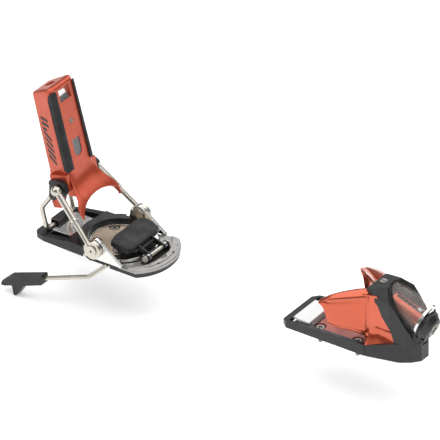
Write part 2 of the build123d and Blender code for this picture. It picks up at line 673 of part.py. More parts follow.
def afd_pad():
    """White low-friction pad that slides sideways on its bars under the boot's toe."""
    body = block(PAD_X0, PAD_X1, -PAD_HALF, PAD_HALF, RAIL_REAR_TOP + 0.7, PAD_TOP)
    edges = body.edges().filter_by(Axis.Y).filter_by_position(Axis.Z, PAD_TOP - 0.1, PAD_TOP + 0.1)
    body = rounded(body, 0.7, edges)
    body += block(PAD_X0 + 0.6, PAD_X1 - 0.6, -18, 18, TOE_FLOOR + 0.4, RAIL_REAR_TOP + 0.8)
    body += block(TOE_REAR + 8, PAD_X1 - 0.6, -18, 18, TOE_FLOOR + 0.4, 7.4)
    for x in AFD_RAILS:
        body -= rod_y(x, AFD_RAIL_Z, -30, 30, AFD_RAIL_R + RUN_CLEAR)
    return body


def barrel_space(extra):
    """The room that the barrel takes up, for cutting it out of its neighbours."""
    slope = (BARREL_R1 - BARREL_R0) / BARREL_LONG
    long = BARREL_LONG + 2
    cone = Cone(BARREL_R1 + extra - slope * long, BARREL_R1 + extra, long)
    body = Pos(-long / 2, 0, 0) * Rot(0, 90, 0) * cone
    body += Pos(12, 0, 0) * Rot(0, 90, 0) * Cylinder(BARREL_R1 + extra, 24.1)
    return on_barrel(body)


def toe_housing(base):
    """Black housing: bridge over the wings, a pillar each side and the barrel's open-topped hood."""
    bridge = [(291.5, 62.0), (291.5, 65.6), (300, 68.4), (312, 71.0), (318, 62), (308, 54), (300, 60)]
    body = side(bridge, -21, 21)
    pillar = [(304, 67), (306.5, 56), (312, 44), (322, 31), (325, 22), (331, 19), (347, 19), (341, 34),
              (327, 53), (313, 69)]
    body += side(pillar, -21, -14) + side(pillar, 14, 21)
    hood = Pos(-20.5, 0, 0) * Rot(0, 90, 0) * Cone(BARREL_R0 + 1.6, BARREL_R1 + 2.0, 43)
    window = side([(312, 71.5), (343, 33), (352, 20), (380, 20), (380, 90), (312, 90)], -40, 40)
    body += on_barrel(hood) - window
    core = side([(305, 12), (305, 54), (311, 60), (346, 40), (347.5, 12)], -PANEL_IN, PANEL_IN)
    core += side([(326, 12), (323, 34), (346, 30), (347.5, 12)], -21, 21)
    body += core & plan(both([(300, -21), (331, -20.4), (341, -13.4), (347, -5)]), 0, 90)
    crown = both([(291, -15.5), (297, -17.5), (304, -21), (318, -21.2), (338, -19.5), (350, -14)])
    body &= plan(crown, 0, 90)
    body &= front([(-22, 10), (-22, 60), (-15.5, 66.5), (-9, 73), (9, 73), (15.5, 66.5), (22, 60), (22, 10)],
                  280, 360)
    body -= barrel_space(0.02)
    for sign in (-1, 1):
        body -= disc(WING_PIN_X, sign * WING_PIN_Y, 10, 61.9, KNUCKLE_ROOM)
        body -= disc(WING_PIN_X, sign * WING_PIN_Y, 0, 64, WING_PIN_R)
    body -= disc(BRIDGE_SCREW_X, 0, 60, 90, 2.6) + disc(BRIDGE_SCREW_X, 0, 67.6, 90, 3.7)
    return body - base - cap_space()


def side_panels(base, housing):
    """Painted covers between the wings and the pillars, flared out to the base at the bottom."""
    upper = [(294, 61.6), (306, 64.0), (308, 55.4), (313, 44), (323, 31), (326, 19), (294, 12)]
    shell = side(upper, -20.8, -PANEL_IN - 0.02)
    skirt = plan([(294, -28.2), (299, -28.2), (331, -20.2), (328, -17.6), (294, -17.6)], 11.9, 24)
    skirt &= front([(-28.3, 11.8), (-28.3, 13.4), (-20.9, 24), (-10, 24), (-10, 11.8)], 280, 340)
    panel = shell + skirt - disc(WING_PIN_X, -WING_PIN_Y, 8, 90, KNUCKLE_ROOM)
    panel -= block(280, WING_PIN_X + 2, -40, 0, 0, 90)
    panel = panel - base - housing
    return Compound(children=[panel, mirrored(panel)])


def wing_pins():
    pins = []
    for sign in (-1, 1):
        pins.append(disc(WING_PIN_X, sign * WING_PIN_Y, TOE_FLOOR + 0.02, 63.9, WING_PIN_R))
    return Compound(children=pins)


def bridge_screw():
    x = BRIDGE_SCREW_X
    body = disc(x, 0, 60.0, 68, 2.55) + disc(x, 0, 67.7, 69.2, 3.6)
    return body - block(x - 4, x + 4, -0.6, 0.6, 68.4, 72)



# ================= toe: wings =================

def right_wing():
    """Right-hand toe wing: a curved claw on an upright pin, hollowed on the boot's side."""
    x, y = WING_PIN_X, -WING_PIN_Y
    outer = ThreePointArc((251.0, -36.2), (274.0, -31.0), (289.5, -22.8))
    heel = Line((289.5, -22.8), (x - 0.5, y - 6.4))
    close = Line((x - 0.5, y - 6.4), (x - 3, -4.2))
    nose = Line((x - 3, -4.2), (284.0, -4.2))
    inner = ThreePointArc((284.0, -4.2), (271.0, -18.5), (254.5, -30.2))
    tip = Line((254.5, -30.2), (251.0, -36.2))
    blade = extrude(make_face([outer, heel, close, nose, inner, tip]), 90)
    top = [(249, 47), (250.6, 51.5), (256, 56), (266, 59.6), (278, 62.2), (290.6, 64.2)]
    low = [(290.6, 61.2), (296, 61.2), (296, 16), (288, 16), (280, 21), (268, 21.5), (262, 23), (258.5, 33),
           (255.5, 45)]
    body = blade & side(top + low, -60, 0)
    scoop = Pos(262, 2, 16) * Cylinder(33.5, 24, rotation=(0, 8, 0))
    body -= scoop & block(240, 286.5, -60, 0, 0, 26)
    body += disc(x, y, 14.4, 61.2, KNUCKLE_R)
    body -= disc(x, y, 10, 70, WING_PIN_R + RUN_CLEAR)
    crest = body.edges().filter_by_position(Axis.Z, 50, 64.5, (False, True))
    return rounded(body, 2.2, crest)


def wing_pad(wing):
    """Dark contact pad on the wing's inner end, which meets the boot's toe."""
    outline = [(250.4, -35.0), (253.5, -29.6), (264.0, -22.4), (268, -22.4), (266, -28), (256, -34)]
    pad = plan(outline, 37, 53)
    pad -= side([(240, 47), (251, 53.1), (240, 60)], -50, 0)
    return pad - wing


# ================= toe: spring barrel =================

def barrel_window():
    """Clear cover of the release spring, a slightly conical tube."""
    middle = -BARREL_LONG / 2
    outer = Pos(middle, 0, 0) * Rot(0, 90, 0) * Cone(BARREL_R0, BARREL_R1, BARREL_LONG)
    inner = Pos(middle, 0, 0) * Rot(0, 90, 0) * Cone(BARREL_R0 - 1.6, BARREL_R1 - 1.6, BARREL_LONG + 2)
    return on_barrel(outer - inner)


def barrel_ring():
    ring = Pos(1.3, 0, 0) * Rot(0, 90, 0) * Cylinder(BARREL_R1, 2.56)
    return on_barrel(ring - Pos(1.3, 0, 0) * Rot(0, 90, 0) * Cylinder(BARREL_R1 - 3.5, 4))


def spring_sleeve():
    """Painted sleeve round the spring with a slot for the scale's pointer."""
    tube = Cylinder(SLEEVE_R, 36) - Cylinder(SLEEVE_R - 1.6, 40)
    tube = Pos(-18.5, 0, CAP_DROP) * Rot(0, 90, 0) * tube
    return on_barrel(tube - block(-34, -1.2, -2.4, 2.4, CAP_DROP + 3, 20))


def toe_spring():
    coil = Helix(pitch=5.0, height=23, radius=SLEEVE_R - 3.6)
    wire = sweep(Plane(origin=coil @ 0, z_dir=coil % 0) * Circle(1.5), path=coil)
    return on_barrel(Pos(-35, 0, CAP_DROP) * Rot(0, 90, 0) * wire)


def toe_indicator():
    """Nut on the adjusting screw with the scale's pointer on top."""
    body = Pos(-7, 0, CAP_DROP) * Rot(0, 90, 0) * Cylinder(SLEEVE_R - 1.8, 3.6)
    body += block(-10.0, -5.2, -2.1, 2.1, CAP_DROP + 5, CAP_DROP + SLEEVE_R + 1.2)
    body -= Pos(-10, 0, CAP_DROP) * Rot(0, 90, 0) * Cylinder(3.06, 20)
    return on_barrel(body)


def toe_cap():
    """Black end cap of the barrel with a small lug below it."""
    body = Pos(4.4, 0, CAP_DROP) * Rot(0, 90, 0) * Cylinder(CAP_R, 3.6)
    body += Pos(9.0, 0, CAP_DROP) * Rot(0, 90, 0) * Cone(CAP_R - 0.7, CAP_R - 4.5, 5.6)
    body += block(2.8, 9.0, -3.4, 3.4, CAP_DROP - CAP_R - 4.5, -12)
    body -= Pos(8, 0, CAP_DROP) * Rot(0, 90, 0) * Cylinder(CAP_SCREW_R + 0.1, 30)
    return on_barrel(body)


def toe_screw():
    """Release adjusting screw with a large cross-slotted head."""
    head = Cylinder(CAP_SCREW_R, 6.0)
    slot = Box(1.8, CAP_SCREW_R * 1.5, 4) + Box(CAP_SCREW_R * 1.5, 1.8, 4)
    head = Pos(9.8, 0, CAP_DROP) * Rot(0, 90, 0) * (head - Pos(0, 0, 3.4) * slot)
    shank = Pos(-13, 0, CAP_DROP) * Rot(0, 90, 0) * Cylinder(3.0, 42)
    return on_barrel(head + shank)


# ================= the assembly =================

def build():
    """Every sub-part, by the name of its node."""
    strip = tower_strip()
    tower_parts = {
        "tower_housing": tower_housing(),
        "recess_insert": recess_insert(),
        "release_window": release_window(),
        "tower_rivet": tower_rivet(),
        "tower_strip_right": strip,
        "heel_cup": heel_cup(strip),
        "pivot_guard_right": pivot_guard(),
        "treadle": treadle(),
        "main_spring": main_spring(),
        "spring_piston": spring_piston(),
        "spring_nut": spring_nut(),
        "heel_screw": heel_screw(),
    }
    for name in ("tower_strip", "pivot_guard"):
        tower_parts[name + "_left"] = mirrored(tower_parts[name + "_right"])
    parts = {name: on_tower(shape) for name, shape in tower_parts.items()}
    wing, base, pad, brake = right_wing(), toe_base(), pedal_pad(), brake_arm()
    housing = toe_housing(base)
    parts.update({
        "heel_base_plate": heel_base_plate(),
        "turntable_disc": turntable_disc(),
        "heel_screws": heel_screws(),
        "brake_housing": brake_housing(),
        "brake_bracket": brake_bracket(),
        "brake_pin": brake_pin(),
        "brake_springs": brake_springs(),
        "ear_frame": ear_frame(),
        "ear_pins": ear_pins(),
        "tail_cover": tail_cover(),
        "bail_clip": bail_clip(),
        "heel_arm_right": heel_arm(),
        "arm_collar_right": arm_collar(),
        "wire_bail": wire_bail(),
        "brake_arm_right": brake,
        "brake_tip_right": brake_tip(brake),
        "pedal_pad": pad,
        "pedal_frame": pedal_frame(pad),
        "pedal_springs": pedal_springs(),
        "toe_base": base,
        "toe_deck": toe_deck(),
        "toe_screws": toe_screws(),
        "afd_rails": afd_rails(),
        "afd_pad": afd_pad(),
        "toe_housing": housing,
        "side_panels": side_panels(base, housing),
        "wing_pins": wing_pins(),
        "bridge_screw": bridge_screw(),
        "toe_wing_right": wing,
        "wing_pad_right": wing_pad(wing),
        "barrel_window": barrel_window(),
        "barrel_ring": barrel_ring(),
        "spring_sleeve": spring_sleeve(),
        "toe_spring": toe_spring(),
        "toe_indicator": toe_indicator(),
        "toe_cap": toe_cap(),
        "toe_screw": toe_screw(),
    })
    for name in ("heel_arm", "arm_collar", "brake_arm", "brake_tip", "toe_wing", "wing_pad"):
        parts[name + "_left"] = mirrored(parts[name + "_right"])
    return parts


def main():
    os.makedirs("parts", exist_ok=True)
    for name, shape in build().items():
        export_step(shape, f"parts/{name}.step")
        print(name, len(shape.solids()), round(shape.volume))


main()
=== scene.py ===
import bmesh
import bpy
import math

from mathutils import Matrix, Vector


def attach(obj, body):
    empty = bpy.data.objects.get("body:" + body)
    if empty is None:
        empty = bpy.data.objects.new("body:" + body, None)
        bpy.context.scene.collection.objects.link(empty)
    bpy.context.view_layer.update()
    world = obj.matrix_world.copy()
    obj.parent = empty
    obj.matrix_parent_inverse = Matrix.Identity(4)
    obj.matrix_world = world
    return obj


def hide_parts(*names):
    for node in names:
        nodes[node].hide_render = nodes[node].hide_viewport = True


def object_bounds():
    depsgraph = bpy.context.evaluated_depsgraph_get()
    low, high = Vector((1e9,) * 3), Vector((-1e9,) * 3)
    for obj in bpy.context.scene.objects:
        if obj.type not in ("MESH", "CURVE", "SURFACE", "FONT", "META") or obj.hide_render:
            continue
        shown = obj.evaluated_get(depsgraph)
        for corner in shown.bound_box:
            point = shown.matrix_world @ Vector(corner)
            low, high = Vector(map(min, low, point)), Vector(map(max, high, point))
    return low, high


MM = 0.001
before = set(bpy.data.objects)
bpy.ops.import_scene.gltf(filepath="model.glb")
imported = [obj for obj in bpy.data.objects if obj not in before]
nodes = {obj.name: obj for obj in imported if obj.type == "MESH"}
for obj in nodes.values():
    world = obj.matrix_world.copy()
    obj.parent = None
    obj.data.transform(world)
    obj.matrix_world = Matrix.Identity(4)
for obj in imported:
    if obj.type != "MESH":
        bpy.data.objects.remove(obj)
cad_box = [list(corner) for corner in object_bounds()]


# ---------------------------------------------------------------- materials

def linear(r, g, b):
    """An sRGB colour, 0 to 255, as the shader's linear colour."""
    parts = [c / 255 for c in (r, g, b)]
    return tuple(c / 12.92 if c < 0.04 else ((c + 0.055) / 1.055) ** 2.4 for c in parts) + (1.0,)


def shade(colour, factor):
    return tuple(min(1.0, c * factor) for c in colour[:3]) + (1.0,)


class Graph:
    """A Principled material and the nodes that feed it."""

    def __init__(self, name):
        self.material = bpy.data.materials.new(name)
        self.material.use_nodes = True
        self.tree = self.material.node_tree
        self.shader = self.tree.nodes["Principled BSDF"]
        self.place = self.node("ShaderNodeTexCoord").outputs["Object"]

    def node(self, kind, **settings):
        made = self.tree.nodes.new(kind)
        for key, value in settings.items():
            setattr(made, key, value)
        return made

    def link(self, a, b):
        self.tree.links.new(a, b)

    def set(self, **values):
        for key, value in values.items():
            self.shader.inputs[key.replace("_", " ")].default_value = value

    def noise(self, scale, detail=3.0, stretch=None):
        where = self.place
        if stretch:
            squeeze = self.node("ShaderNodeMapping")
            squeeze.inputs["Scale"].default_value = stretch
            self.link(where, squeeze.inputs["Vector"])
            where = squeeze.outputs["Vector"]
        made = self.node("ShaderNodeTexNoise")
        made.inputs["Scale"].default_value = scale
        made.inputs["Detail"].default_value = detail
        self.link(where, made.inputs["Vector"])
        return made.outputs["Fac"]

    def span(self, value, low, high, start=0.3, end=0.7):
        made = self.node("ShaderNodeMapRange")
        for key, number in zip(("From Min", "From Max", "To Min", "To Max"), (start, end, low, high)):
            made.inputs[key].default_value = number
        self.link(value, made.inputs["Value"])
        return made.outputs["Result"]

    def mix(self, factor, a, b):
        made = self.node("ShaderNodeMix", data_type="RGBA")
        self.link(factor, made.inputs[0])
        for socket, value in ((made.inputs[6], a), (made.inputs[7], b)):
            if isinstance(value, tuple):
                socket.default_value = value
            else:
                self.link(value, socket)
        return made.outputs[2]

    def bump(self, height, distance):
        made = self.node("ShaderNodeBump")
        made.inputs["Distance"].default_value = distance
        made.inputs["Strength"].default_value = 1.0
        self.link(height, made.inputs["Height"])
        return made.outputs["Normal"]


def finish(name, colour, metallic=0.0, rough=0.4, vary=0.1, cloud=45.0, grain=2500.0, relief=0.03,
           scuff=0.0, scuff_colour=None, stretch=None, flake=0.0, **shader):
    """A surface with clouding, fine grain in its relief, uneven roughness, and wear where scuff is set."""
    g = Graph(name)
    base = g.mix(g.span(g.noise(cloud, 4.0), 0.0, 1.0), shade(colour, 1 - vary), shade(colour, 1 + vary))
    if flake:
        sparkle = g.node("ShaderNodeTexVoronoi")
        sparkle.inputs["Scale"].default_value = 3200.0
        g.link(g.place, sparkle.inputs["Vector"])
        bright = g.span(sparkle.outputs["Distance"], flake, 0.0, 0.0, 0.55)
        base = g.mix(bright, base, shade(colour, 1.7))
    fine = g.noise(grain, 2.0, stretch)
    roughness = g.span(g.noise(cloud * 2.3, 5.0), rough * 0.8, rough * 1.25)
    if scuff:
        marks = g.span(g.noise(cloud * 6, 8.0, (1.0, 3.0, 1.0)), 0.0, scuff, 0.6, 0.75)
        base = g.mix(marks, base, scuff_colour or shade(colour, 2.2))
    g.link(base, g.shader.inputs["Base Color"])
    g.link(roughness, g.shader.inputs["Roughness"])
    g.link(g.bump(fine, relief * MM), g.shader.inputs["Normal"])
    g.set(Metallic=metallic, **shader)
    return g.material


def glass(name, colour, alpha, rough=0.06):
    """Thin clear plastic: see-through, glossy, with faint haze and hairline scratches."""
    g = Graph(name)
    haze = g.noise(60.0, 5.0)
    tint = g.mix(g.span(haze, 0.0, 1.0), shade(colour, 0.85), shade(colour, 1.15))
    g.link(tint, g.shader.inputs["Base Color"])
    g.link(g.span(haze, rough, rough * 2.2), g.shader.inputs["Roughness"])
    g.link(g.span(haze, alpha * 0.85, alpha * 1.2), g.shader.inputs["Alpha"])
    g.link(g.bump(g.noise(900.0, 2.0, (1, 6, 1)), 0.01 * MM), g.shader.inputs["Normal"])
    g.set(Coat_Weight=1.0, Coat_Roughness=0.04, Specular_IOR_Level=0.8)
    g.material.surface_render_method = "BLENDED"
    return g.material


ORANGE = linear(190, 76, 46)
GLOSS = linear(198, 82, 44)
BLACK = linear(27, 28, 29)

FINISHES = {
    "orange_paint": finish("orange_paint", ORANGE, 0.55, 0.36, 0.07, flake=0.16, relief=0.012,
                           scuff=0.12, Coat_Weight=0.35, Coat_Roughness=0.25),
    "orange_gloss": finish("orange_gloss", GLOSS, 0.7, 0.2, 0.06, flake=0.2, relief=0.006,
                           scuff=0.08, Coat_Weight=0.9, Coat_Roughness=0.06),
    "black_plastic": finish("black_plastic", BLACK, 0.0, 0.42, 0.14, relief=0.03, scuff=0.12,
                            Specular_IOR_Level=0.5),
    "soft_black": finish("soft_black", linear(18, 18, 19), 0.0, 0.62, 0.18, grain=1600, relief=0.06,
                         scuff=0.16, Sheen_Weight=0.06, Sheen_Roughness=0.4),
    "black_steel": finish("black_steel", linear(44, 43, 43), 0.6, 0.34, 0.2, relief=0.015, scuff=0.2,
                          scuff_colour=linear(120, 118, 115)),
    "satin_steel": finish("satin_steel", linear(200, 195, 184), 1.0, 0.3, 0.06, stretch=(1, 9, 1),
                          relief=0.012, scuff=0.15, scuff_colour=linear(120, 112, 100)),
    "bright_steel": finish("bright_steel", linear(222, 222, 220), 1.0, 0.13, 0.05, relief=0.005,
                           scuff=0.1, scuff_colour=linear(110, 105, 100)),
    "screw_head": finish("screw_head", linear(142, 138, 132), 1.0, 0.46, 0.08, relief=0.012, scuff=0.2,
                         scuff_colour=linear(84, 80, 74)),
    "grey_cast": finish("grey_cast", linear(160, 158, 156), 0.8, 0.42, 0.05, grain=3800, relief=0.02,
                        scuff=0.15, scuff_colour=linear(110, 108, 104)),
    "bronze_plate": finish("bronze_plate", linear(172, 156, 138), 0.9, 0.32, 0.12, stretch=(7, 1, 1),
                           relief=0.015, scuff=0.25, scuff_colour=linear(96, 80, 66)),
    # toe deck: orange paint painted darker, to maroon, as painted shade for the shadow it lies in under
    # the claws
    "maroon_plate": finish("maroon_plate", linear(132, 46, 32), 0.55, 0.38, 0.12, relief=0.012,
                           scuff=0.15, Coat_Weight=0.25, Coat_Roughness=0.2),
    "white_pad": finish("white_pad", linear(226, 228, 227), 0.0, 0.34, 0.03, relief=0.01, scuff=0.2,
                        scuff_colour=linear(170, 168, 165)),
    "clear_window": glass("clear_window", linear(205, 196, 190), 0.1),
    "grey_window": glass("grey_window", linear(60, 60, 63), 0.75),
    "spring_steel": finish("spring_steel", linear(178, 178, 180), 1.0, 0.24, 0.12, stretch=(1, 1, 6),
                           relief=0.01, scuff=0.2, scuff_colour=linear(70, 66, 62)),
}

WORN = {
    "orange_paint": finish("orange_edge", shade(ORANGE, 1.25), 0.7, 0.28, 0.18, cloud=160),
    "orange_gloss": finish("gloss_edge", shade(GLOSS, 1.25), 0.8, 0.14, 0.15, cloud=160, Coat_Weight=0.6),
    "black_plastic": finish("plastic_edge", linear(50, 51, 53), 0.0, 0.34, 0.25, cloud=160),
    "soft_black": finish("soft_edge", linear(40, 40, 42), 0.0, 0.5, 0.25, cloud=160),
    "black_steel": finish("black_steel_edge", linear(92, 90, 88), 0.8, 0.3, 0.4, cloud=160),
    "bronze_plate": finish("bronze_edge", linear(206, 192, 172), 1.0, 0.24, 0.15, cloud=160),
    "screw_head": finish("screw_head", linear(142, 138, 132), 1.0, 0.46, 0.08, relief=0.012, scuff=0.2,
                         scuff_colour=linear(84, 80, 74)),
    "grey_cast": finish("cast_edge", linear(180, 179, 177), 0.9, 0.3, 0.08, cloud=160),
}

FINISH_OF = {
    "orange_paint": "tower_housing heel_cup",
    "orange_gloss": "toe_wing_right toe_wing_left side_panels spring_sleeve",
    "black_plastic": "heel_base_plate tail_cover pivot_guard_right pivot_guard_left brake_tip_right"
                     " brake_tip_left toe_base toe_housing toe_cap",
    "soft_black": "tower_strip_right tower_strip_left pedal_pad wing_pad_right wing_pad_left treadle",
    "black_steel": "brake_bracket bail_clip pedal_frame",
    "satin_steel": "heel_arm_right heel_arm_left wire_bail brake_arm_right brake_arm_left"
                   " brake_pin wing_pins ear_pins",
    "bright_steel": "ear_frame arm_collar_right arm_collar_left recess_insert"
                    " heel_screw afd_rails barrel_ring",
    "screw_head": "heel_screws toe_screws bridge_screw tower_rivet toe_screw",
    "grey_cast": "brake_housing spring_piston",
    "bronze_plate": "turntable_disc spring_nut",
    "maroon_plate": "toe_deck",
    "white_pad": "afd_pad",
    "clear_window": "barrel_window",
    "grey_window": "release_window",
    "spring_steel": "main_spring brake_springs pedal_springs toe_spring toe_indicator",
}

EDGE_MM = {"soft_black": 0.6, "black_plastic": 0.5, "orange_paint": 0.6, "grey_cast": 0.4}
NO_EDGE = ("main_spring", "toe_spring", "pedal_springs", "brake_springs", "wire_bail", "barrel_window")


def dress(obj, slot_name, edge=True):
    """Gives a piece its finish, and soft worn edges."""
    obj.data.materials.clear()
    obj.data.materials.append(FINISHES[slot_name])
    if slot_name in WORN:
        obj.data.materials.append(WORN[slot_name])
    if not edge:
        return
    weld = obj.modifiers.new("weld", "WELD")
    weld.merge_threshold = 0.002 * MM
    bevel = obj.modifiers.new("edges", "BEVEL")
    bevel.width = EDGE_MM.get(slot_name, 0.3) * MM
    bevel.segments = 2
    bevel.limit_method = "ANGLE"
    bevel.angle_limit = math.radians(38)
    bevel.use_clamp_overlap = True
    bevel.harden_normals = False
    if slot_name in WORN:
        bevel.material = 1
    obj.modifiers.new("normals", "WEIGHTED_NORMAL").keep_sharp = True


for slot_name, names in FINISH_OF.items():
    for node_name in names.split():
        dress(nodes[node_name], slot_name, node_name not in NO_EDGE)


# ---------------------------------------------------------------- detail pieces

def through(points, t):
    """A point on the smooth curve through the given points, t from 0 to 1."""
    last = len(points) - 1
    place = min(max(t, 0.0), 1.0) * last
    i = min(int(place), last - 1)
    f = place - i
    p0, p1, p2, p3 = (points[max(0, min(last, i + k))] for k in (-1, 0, 1, 2))
    made = []
    for a, b, c, d in zip(p0, p1, p2, p3):
        made.append(0.5 * (2 * b + (c - a) * f + (2 * a - 5 * b + 4 * c - d) * f ** 2
                           + (3 * b - a - 3 * c + d) * f ** 3))
    return made


def skin(rings, closed_ends=True):
    """Points and quads of a skin through rings of points in millimetres; every ring is a closed loop."""
    count = len(rings[0])
    verts = [tuple(c * MM for c in p) for ring in rings for p in ring]
    faces = []
    for i in range(len(rings) - 1):
        for j in range(count):
            k = (j + 1) % count
            faces.append((i * count + j, i * count + k, (i + 1) * count + k, (i + 1) * count + j))
    if closed_ends:
        faces.append(tuple(reversed(range(count))))
        faces.append(tuple((len(rings) - 1) * count + j for j in range(count)))
    return verts, faces


def solid_of(name, parts):
    """One object of several closed skins, shaded smooth with its normals outward."""
    mesh = bpy.data.meshes.new(name)
    verts, faces = [], []
    for part_verts, part_faces in parts:
        start = len(verts)
        verts += part_verts
        faces += [tuple(start + i for i in face) for face in part_faces]
    mesh.from_pydata(verts, [], faces)
    work = bmesh.new()
    work.from_mesh(mesh)
    bmesh.ops.recalc_face_normals(work, faces=work.faces)
    work.to_mesh(mesh)
    work.free()
    mesh.shade_smooth()
    obj = bpy.data.objects.new(name, mesh)
    bpy.context.scene.collection.objects.link(obj)
    return obj


def turned(profile, place, steps=40):
    """A skin of revolution about an upright axis: profile is (radius, height) in millimetres."""
    x, y = place
    rings = []
    for i in range(steps):
        a = 2 * math.pi * i / steps
        rings.append([(x + r * math.cos(a), y + r * math.sin(a), z) for r, z in profile])
    rings.append(rings[0])
    return skin(rings, closed_ends=False)


WING_PIN = (295.0, 14.0)
# along the right wing: x, outer y, inner y, lower edge, upper edge
WING_LINE = [
    (293.5, -20.6, -9.0, 16.4, 64.0),
    (288.5, -23.4, -8.6, 16.8, 63.0),
    (281.0, -27.6, -11.5, 19.6, 61.6),
    (272.0, -31.6, -18.0, 20.8, 59.5),
    (265.5, -33.8, -23.0, 21.6, 57.5),
    (261.0, -34.8, -26.4, 24.0, 55.8),
    (258.4, -35.2, -28.2, 33.0, 54.4),
    (255.8, -35.6, -29.8, 40.8, 52.6),
    (251.8, -36.0, -31.8, 45.6, 49.8),
]
WING_STATIONS = 80
WING_OUTER_STEPS, WING_SHOULDER_STEPS, WING_INNER_STEPS = 56, 8, 20
BARREL_BORE, BARREL_R = 2.7, 6.5      # hinge barrel of a claw
BARREL_LOW, BARREL_HIGH = 14.5, 61.0


def wing_ring(s):
    """One section of the right wing, from the hinge at s 0 to the tip at 1."""
    xo, yo, yi, low, top = through(WING_LINE, s)
    xi = xo + 1.2
    high = top - low
    lip = 4.6 - 1.8 * s
    ring = []
    for i in range(WING_OUTER_STEPS + 1):
        h = i / WING_OUTER_STEPS
        z = low + (high - lip) * h
        tuck = 3.2 * max(0.0, 1 - h / 0.16) ** 2
        belly = 0.9 * math.sin(math.pi * h) - 0.5 * math.exp(-((h - 0.9) / 0.06) ** 2)
        crease_at = 0.1 + 0.16 * s * s
        crease_fade = min(1.0, 6 * s, 5 * max(0.0, 0.86 - s))
        crease = 1.3 * math.exp(-((h - crease_at) / 0.024) ** 2) * crease_fade
        flare = 1.2 * max(0.0, (h - 0.93) / 0.07) ** 2
        inward = (tuck - belly + crease - flare) / max(1e-6, math.hypot(xi - xo, yi - yo))
        ring.append((xo + (xi - xo) * inward, yo + (yi - yo) * inward, z))
    for i in range(1, WING_SHOULDER_STEPS + 1):
        f = i / WING_SHOULDER_STEPS
        rise = math.sin(f * math.pi / 2)
        ring.append((xo + (xi - xo) * (0.04 + 0.86 * f), yo + (yi - yo) * (0.04 + 0.86 * f),
                     top - lip + lip * (0.15 + 0.85 * rise) - (0.9 if f == 1.0 else 0.0)))
    for i in range(WING_INNER_STEPS + 1):
        h = 1 - i / WING_INNER_STEPS
        hollow = 0.42 * math.sin(math.pi * min(1.0, h * 1.15)) ** 0.7 * min(1.0, 5 * s + 0.1)
        hollow *= min(1.0, 4 * (1.02 - s))
        z = low + 0.8 + (high - 2.4) * h
        ring.append((xi + (xo - xi) * hollow, yi + (yo - yi) * hollow, z))
    return ring


def toe_wing(side_name, sign):
    """A claw with a rolled top edge, a tucked lower edge and a hollow back, round its hinge barrel."""
    rings = [wing_ring(i / WING_STATIONS) for i in range(WING_STATIONS + 1)]
    tip = rings[-1]
    middle = [sum(p[k] for p in tip) / len(tip) for k in range(3)]
    for shrink, forward in ((0.82, 0.8), (0.45, 1.3)):
        ring = []
        for p in tip:
            q = [m + (c - m) * shrink for c, m in zip(p, middle)]
            ring.append((q[0] - forward, q[1] + 0.2 * forward, q[2]))
        rings.append(ring)
    x, y = WING_PIN
    barrel = [(BARREL_BORE, BARREL_LOW), (BARREL_R - 0.5, BARREL_LOW), (BARREL_R, BARREL_LOW + 0.5),
              (BARREL_R, 20.0), (BARREL_R - 0.3, 20.4), (BARREL_R - 0.3, 21.2), (BARREL_R, 21.6),
              (BARREL_R, BARREL_HIGH - 0.6), (BARREL_R - 0.4, BARREL_HIGH), (BARREL_BORE, BARREL_HIGH),
              (BARREL_BORE, BARREL_LOW)]
    parts = [skin(rings), turned(barrel, (x, -y))]
    web = []
    for z, grow in ((16.8, 0.0), (18.0, 0.6), (58.5, 0.6), (61.0, 0.0)):
        web.append([(x - 0.5, -y - 5.6 - grow, z), (x - 5.0, -y - 6.6 - grow, z), (x - 5.0, -y + 4.0, z),
                    (x - 0.5, -y + 5.0, z)])
    parts.append(skin(web))
    obj = solid_of("wing_shell_" + side_name, parts)
    if sign > 0:
        for vert in obj.data.vertices:
            vert.co.y = -vert.co.y
        obj.data.flip_normals()
    obj.data.materials.append(FINISHES["orange_gloss"])
    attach(obj, "toe_wing_" + side_name)
    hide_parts("toe_wing_" + side_name)


PAD_FROM, PAD_TO = 0.56, 0.97         # along the claw, as in wing_ring
PAD_THICK = 1.3
PAD_ROWS, PAD_ACROSS = 18, 14
PAD_MARGIN = 2                        # steps of the claw's hollow left bare above the pad
PAD_LAST = 17


def wing_pad(side_name, sign):
    """A soft pad lying in the claw's hollow, where the boot's toe bears."""
    rows = []
    for i in range(PAD_ROWS + 1):
        f = i / PAD_ROWS
        inner = wing_ring(PAD_FROM + (PAD_TO - PAD_FROM) * f)[-(WING_INNER_STEPS + 1):]
        start = PAD_MARGIN + round(2.2 * abs(2 * f - 1) ** 3)
        length = PAD_LAST - 2 * start + PAD_MARGIN
        reach = [through(inner, (start + length * k / PAD_ACROSS) / WING_INNER_STEPS)
                 for k in range(PAD_ACROSS + 1)]
        rows.append([(x, -sign * y, z) for x, y, z in reach])
    pad = sheet_of("pad_shell_" + side_name, rows, PAD_THICK, "soft_black", "toe_wing_" + side_name,
                   1.0 if sign > 0 else -1.0, 0.5)
    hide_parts("wing_pad_" + side_name)


for wing_side, wing_sign in (("right", -1), ("left", 1)):
    toe_wing(wing_side, wing_sign)


LEAN = math.radians(15.0)
TOWER_ORIGIN = (-46.0, 66.0)
TOWER_FOOT, TOWER_HEAD = 7.5, 96.0
FLANK_REAR, FLANK_DEPTH = -21.5, 19.5
FLANK_REAR_HALF, FLANK_SPREAD = 13.0, 5.0   # half width at the rear, and its gain towards the front
FLANK_SWELL = 1.6                           # wider by this at the foot
VENT_FOOT, VENT_PITCH, VENTS = 20.0, 6.2, 5
VENT_REAR, VENT_FRONT = -17.4, -8.6
DASH_SLOPE, DASH_THICK = 0.28, 2.6
DASHES = [(66.0, 9.0), (60.5, 9.0), (55.0, 5.0)]   # height up the tower, length


def tower_place(v, y, u):
    """A point of the tower's own frame, forward, across and up, in the ski's frame."""
    return (TOWER_ORIGIN[0] + v * math.cos(LEAN) - u * math.sin(LEAN), y,
            TOWER_ORIGIN[1] + v * math.sin(LEAN) + u * math.cos(LEAN))


